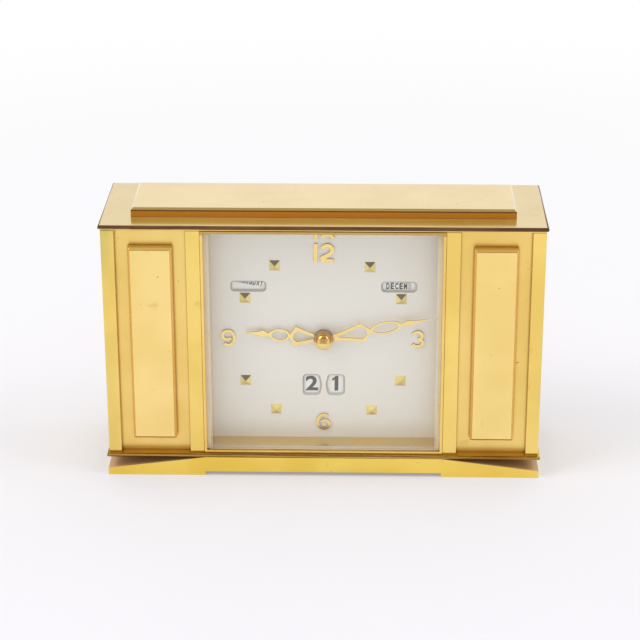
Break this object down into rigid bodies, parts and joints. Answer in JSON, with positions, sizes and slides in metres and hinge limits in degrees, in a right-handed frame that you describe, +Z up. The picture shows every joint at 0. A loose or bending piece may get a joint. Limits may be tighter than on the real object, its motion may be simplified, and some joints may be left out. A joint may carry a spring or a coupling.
{
  "type": "desk clock",
  "caption": "Oblong brass desk clock with a square glazed dial, pierced hands, day, month and date windows, raised side panels and a stepped roof.",
  "frame": {"origin": "middle of the footprint, on the surface the clock stands on", "axes": "+X along the clock's width to the right as seen from the front, +Y from front to back, +Z up"},
  "size_m": [0.216, 0.066, 0.137],
  "materials": {
    "brass_satin": "satin lacquered brass",
    "brass_polished": "polished lacquered brass",
    "brass_plain": "plain machined brass",
    "glass": "clear bevelled glass",
    "dial_silver": "silvered satin",
    "disc_white": "satin white with dark figures",
    "steel": "machined",
    "cell_jacket": "printed jacket, plain bands",
    "black_plastic": "moulded",
    "board": "laminate with parts",
    "winding": "enamelled wire and cheeks",
    "wire": "insulated wire"
  },
  "bodies": {
    "case": {"plinth": "brass_satin", "base_plate": "brass_satin", "roof_plate": "brass_satin", "roof_panel": "brass_satin", "corner_posts": "steel", "case_screws": "steel", "side_wall_left": "brass_satin", "side_wall_right": "brass_satin", "field_panel_left": "brass_satin", "field_panel_right": "brass_satin", "front_trim": "brass_satin", "raised_panels": "brass_satin", "bezel": "brass_polished", "crystal": "glass", "dial_surround": "brass_polished", "dial_plate": "dial_silver", "numerals": "brass_polished", "hour_markers": "brass_polished", "mounting_plate": "brass_plain", "stack_spacers": "brass_plain", "stack_screws": "steel", "movement_front_plate": "brass_plain", "movement_rear_plate": "brass_plain", "movement_pillars": "brass_plain", "movement_screws": "steel", "drive_coil": "winding", "circuit_board": "board", "battery_holder": "black_plastic", "battery_cell": "cell_jacket", "battery_contacts": "brass_plain", "rear_cover": "brass_plain", "cover_screws": "steel", "door_pin": "steel", "lead_wires": "wire"},
    "day_indicator": {"day_disc": "disc_white", "day_arbor": "steel", "day_knob": "brass_plain"},
    "month_indicator": {"month_disc": "disc_white", "month_arbor": "steel", "month_knob": "brass_plain"},
    "date_tens_indicator": {"date_tens_disc": "disc_white", "date_tens_arbor": "steel", "date_tens_knob": "brass_plain"},
    "date_units_indicator": {"date_units_disc": "disc_white", "date_units_arbor": "steel", "date_units_knob": "brass_plain"},
    "minute_work": {"centre_arbor": "steel", "minute_hand": "brass_polished", "hand_nut": "brass_polished", "cannon_pinion": "steel", "centre_wheel": "brass_plain", "hands_knob": "brass_plain"},
    "hour_work": {"hour_wheel": "brass_plain", "hour_hand": "brass_polished"},
    "motion_wheel": {"minute_wheel": "brass_plain"},
    "third": {"third_wheel": "brass_plain"},
    "index": {"index_wheel": "brass_plain"},
    "balance": {"balance_wheel": "brass_plain", "balance_spring": "steel"},
    "door": {"battery_door": "brass_plain"}
  },
  "joints": [
    {"name": "day_turn", "type": "hinge", "parent": "case", "child": "day_indicator", "pos_m": [-0.0245, 0, 0.09485], "axis": [0, 1, 0], "continuous": true},
    {"name": "month_turn", "type": "hinge", "parent": "case", "child": "month_indicator", "pos_m": [0.0245, 0, 0.09485], "axis": [0, 1, 0], "continuous": true},
    {"name": "date_tens_turn", "type": "hinge", "parent": "case", "child": "date_tens_indicator", "pos_m": [-0.0245, 0, 0.0422], "axis": [0, 1, 0], "continuous": true},
    {"name": "date_units_turn", "type": "hinge", "parent": "case", "child": "date_units_indicator", "pos_m": [0.0245, 0, 0.0422], "axis": [0, 1, 0], "continuous": true},
    {"name": "minute_turn", "type": "hinge", "parent": "case", "child": "minute_work", "pos_m": [0, 0, 0.0681], "axis": [0, 1, 0], "continuous": true},
    {"name": "hour_turn", "type": "hinge", "parent": "case", "child": "hour_work", "pos_m": [0, 0, 0.0681], "axis": [0, 1, 0], "continuous": true},
    {"name": "motion_wheel_turn", "type": "hinge", "parent": "case", "child": "motion_wheel", "pos_m": [0.012, 0, 0.0681], "axis": [0, 1, 0], "continuous": true},
    {"name": "third_turn", "type": "hinge", "parent": "case", "child": "third", "pos_m": [-0.008, 0, 0.05661], "axis": [0, 1, 0], "continuous": true},
    {"name": "index_turn", "type": "hinge", "parent": "case", "child": "index", "pos_m": [0.00049, 0, 0.05171], "axis": [0, 1, 0], "continuous": true},
    {"name": "balance_swing", "type": "hinge", "parent": "case", "child": "balance", "pos_m": [0.00935, 0, 0.05327], "axis": [0, 1, 0], "range_deg": [-120, 120], "stiffness_Nm_per_rad": 0.00005},
    {"name": "door_hinge", "type": "hinge", "parent": "case", "child": "door", "pos_m": [0.08, 0.0268, 0.0383], "axis": [-1, 0, 0], "range_deg": [0, 100]}
  ],
  "couplings": [
    {"joint": "hour_turn", "follows": "minute_turn", "ratio": 0.083333},
    {"joint": "motion_wheel_turn", "follows": "minute_turn", "ratio": -0.33333},
    {"joint": "third_turn", "follows": "minute_turn", "ratio": -6},
    {"joint": "index_turn", "follows": "minute_turn", "ratio": 36}
  ]
}
